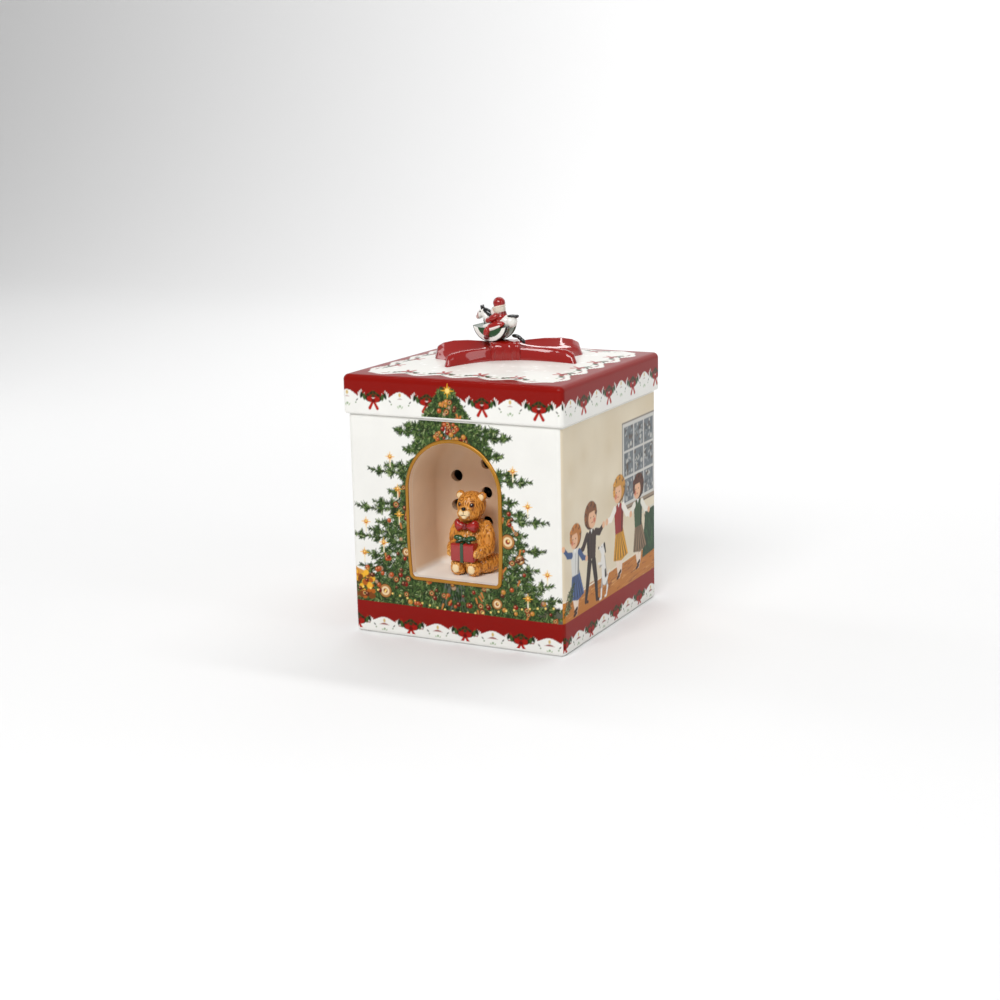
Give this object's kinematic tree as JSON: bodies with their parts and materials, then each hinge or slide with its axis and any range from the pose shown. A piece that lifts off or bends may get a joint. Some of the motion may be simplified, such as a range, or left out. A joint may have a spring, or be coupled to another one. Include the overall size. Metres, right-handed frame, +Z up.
{
  "type": "lidded ceramic gift box",
  "caption": "Square glazed ceramic keepsake box with a lift-off bow lid, rocking-horse finial and an arched front niche holding a seated bear.",
  "frame": {"origin": "centre of the square foot, on the surface the box stands on", "axes": "+Z up; the arched niche faces -Y; +X to the right of someone facing the niche"},
  "size_m": [0.158, 0.158, 0.2175],
  "materials": {
    "white_glaze": "transparent gloss glaze over colour",
    "red_glaze": "transparent gloss glaze over colour",
    "green_glaze": "transparent gloss glaze over colour",
    "brown_glaze": "transparent gloss glaze over colour",
    "cream_glaze": "transparent gloss glaze over colour",
    "beige_glaze": "transparent gloss glaze over colour",
    "black_glaze": "transparent gloss glaze over colour",
    "gold_band": "burnished gold paint"
  },
  "bodies": {
    "box": {"bear_arm_left": "brown_glaze", "bear_arm_right": "brown_glaze", "bear_ear_left": "brown_glaze", "bear_ear_right": "brown_glaze", "bear_head": "brown_glaze", "bear_leg_left": "brown_glaze", "bear_leg_right": "brown_glaze", "bear_muzzle": "cream_glaze", "bear_torso": "brown_glaze", "bow_tie_knot": "red_glaze", "bow_tie_left_loop": "red_glaze", "bow_tie_right_loop": "red_glaze", "box_shell": "white_glaze", "gift_bow": "green_glaze", "gift_box": "red_glaze", "gift_ribbon": "green_glaze", "niche_rim": "gold_band", "niche_shell": "beige_glaze"},
    "lid": {"bow_knot": "red_glaze", "bow_loop_back_left": "red_glaze", "bow_loop_back_right": "red_glaze", "bow_loop_front_left": "red_glaze", "bow_loop_front_right": "red_glaze", "horse_body": "white_glaze", "horse_head": "white_glaze", "horse_mane": "black_glaze", "horse_tail": "black_glaze", "lid_locating_rim": "white_glaze", "lid_shell": "white_glaze", "rider_arm_left": "red_glaze", "rider_arm_right": "red_glaze", "rider_beard": "cream_glaze", "rider_coat": "red_glaze", "rider_hat": "red_glaze", "rider_head": "cream_glaze", "rider_leg_left": "red_glaze", "rider_leg_right": "red_glaze", "rocker_seat": "green_glaze", "rocker_side_left": "green_glaze", "rocker_side_right": "green_glaze"}
  },
  "joints": [
    {"name": "lid_lift", "type": "slide", "parent": "box", "child": "lid", "axis": [0, 0, 1], "range_m": [0, 0.12]}
  ]
}
